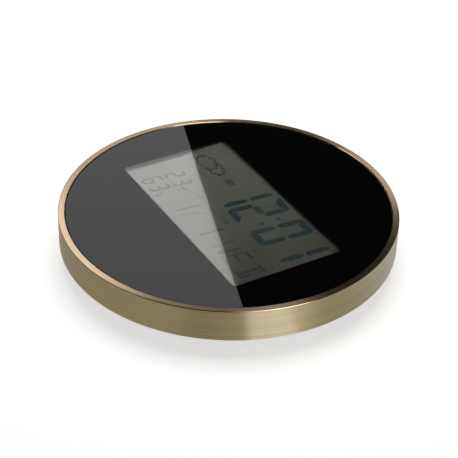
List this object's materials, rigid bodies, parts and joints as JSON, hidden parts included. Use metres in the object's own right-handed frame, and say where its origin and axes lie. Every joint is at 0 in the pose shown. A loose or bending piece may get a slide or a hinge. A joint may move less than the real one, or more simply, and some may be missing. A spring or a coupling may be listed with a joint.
{
  "type": "weather station",
  "caption": "Round home weather station: brushed metal bezel, black glass face with a reflective clock and weather display, battery-powered, with a fold-out stand and wall hanger.",
  "frame": {"origin": "on the table plane, below the middle of the ring, with the station lying on its back on its feet", "axes": "+Z out of the glass face, +X the way the display reads, +Y towards the display's top edge"},
  "size_m": [0.15, 0.15, 0.0228],
  "materials": {
    "bezel_metal": "champagne anodised, brushed round the ring",
    "clear_glass": "polished, clear",
    "panel_glass": "polished, thin",
    "black_film": "printed black",
    "black_tape": "foam tape",
    "polariser_film": "grey film, satin",
    "reflector_film": "pale grey-green, satin",
    "black_plastic": "fine spark texture",
    "inner_plastic": "as moulded",
    "key_plastic": "smooth, satin",
    "strip_rubber": "striped silicone",
    "black_rubber": "matte",
    "board_green": "solder mask over glass-epoxy",
    "black_resin": "smooth",
    "chip_body": "ceramic with tinned ends",
    "tin_can": "tinned",
    "plated_steel": "nickel plated",
    "zinc_steel": "zinc plated",
    "cell_jacket": "plain printed jacket",
    "buzzer_brass": "bright",
    "ceramic": "silvered ceramic",
    "red_wire": "insulation",
    "black_wire": "insulation",
    "grey_wire": "ribbon insulation"
  },
  "bodies": {
    "case": {"bezel_ring": "bezel_metal", "front_glass": "clear_glass", "glass_mask": "black_film", "glass_tape": "black_tape", "front_carrier": "inner_plastic", "front_polariser": "polariser_film", "panel_front_plate": "panel_glass", "panel_rear_plate": "panel_glass", "panel_reflector": "reflector_film", "display_frame": "inner_plastic", "contact_strip": "strip_rubber", "main_board": "board_green", "board_screws": "zinc_steel", "frame_screws": "zinc_steel", "processor_blob": "black_resin", "clock_crystal": "tin_can", "board_parts": "chip_body", "pressure_sensor": "tin_can", "switch_bodies": "black_resin", "rear_cover": "black_plastic", "case_screws": "zinc_steel", "rubber_feet": "black_rubber", "hanger_plate": "zinc_steel", "hanger_screws": "zinc_steel", "battery_lower": "cell_jacket", "battery_upper": "cell_jacket", "battery_springs": "plated_steel", "bridge_contact": "plated_steel", "positive_contact": "plated_steel", "negative_contact": "plated_steel", "stand_pin": "zinc_steel", "buzzer_disc": "buzzer_brass", "buzzer_ceramic": "ceramic", "sensor_board": "board_green", "humidity_sensor": "black_resin", "battery_lead_red": "red_wire", "battery_lead_black": "black_wire", "buzzer_leads": "black_wire", "sensor_leads": "grey_wire"},
    "stand": {"stand_leg": "black_plastic", "stand_pad": "black_rubber"},
    "door": {"battery_door": "black_plastic"},
    "key_set_body": {"key_set": "key_plastic", "plunger_set": "key_plastic"},
    "key_up_body": {"key_up": "key_plastic", "plunger_up": "key_plastic"},
    "key_down_body": {"key_down": "key_plastic", "plunger_down": "key_plastic"},
    "key_units_body": {"key_units": "key_plastic", "plunger_units": "key_plastic"},
    "key_alarm_body": {"key_alarm": "key_plastic", "plunger_alarm": "key_plastic"},
    "key_snooze_body": {"key_snooze": "key_plastic", "plunger_snooze": "key_plastic"}
  },
  "joints": [
    {"name": "stand_hinge", "type": "hinge", "parent": "case", "child": "stand", "pos_m": [0, -0.0495, 0.0031], "axis": [-1, 0, 0], "range_deg": [0, 105]},
    {"name": "door_hinge", "type": "hinge", "parent": "case", "child": "door", "pos_m": [0, 0.0325, 0.002], "axis": [1, 0, 0], "range_deg": [0, 80]},
    {"name": "key_set_press", "type": "slide", "parent": "case", "child": "key_set_body", "axis": [0, 0, 1], "range_m": [0, 0.0005], "stiffness_N_per_m": 800},
    {"name": "key_up_press", "type": "slide", "parent": "case", "child": "key_up_body", "axis": [0, 0, 1], "range_m": [0, 0.0005], "stiffness_N_per_m": 800},
    {"name": "key_down_press", "type": "slide", "parent": "case", "child": "key_down_body", "axis": [0, 0, 1], "range_m": [0, 0.0005], "stiffness_N_per_m": 800},
    {"name": "key_units_press", "type": "slide", "parent": "case", "child": "key_units_body", "axis": [0, 0, 1], "range_m": [0, 0.0005], "stiffness_N_per_m": 800},
    {"name": "key_alarm_press", "type": "slide", "parent": "case", "child": "key_alarm_body", "axis": [0, 0, 1], "range_m": [0, 0.0005], "stiffness_N_per_m": 800},
    {"name": "key_snooze_press", "type": "slide", "parent": "case", "child": "key_snooze_body", "axis": [0, 0, 1], "range_m": [0, 0.0005], "stiffness_N_per_m": 800}
  ]
}
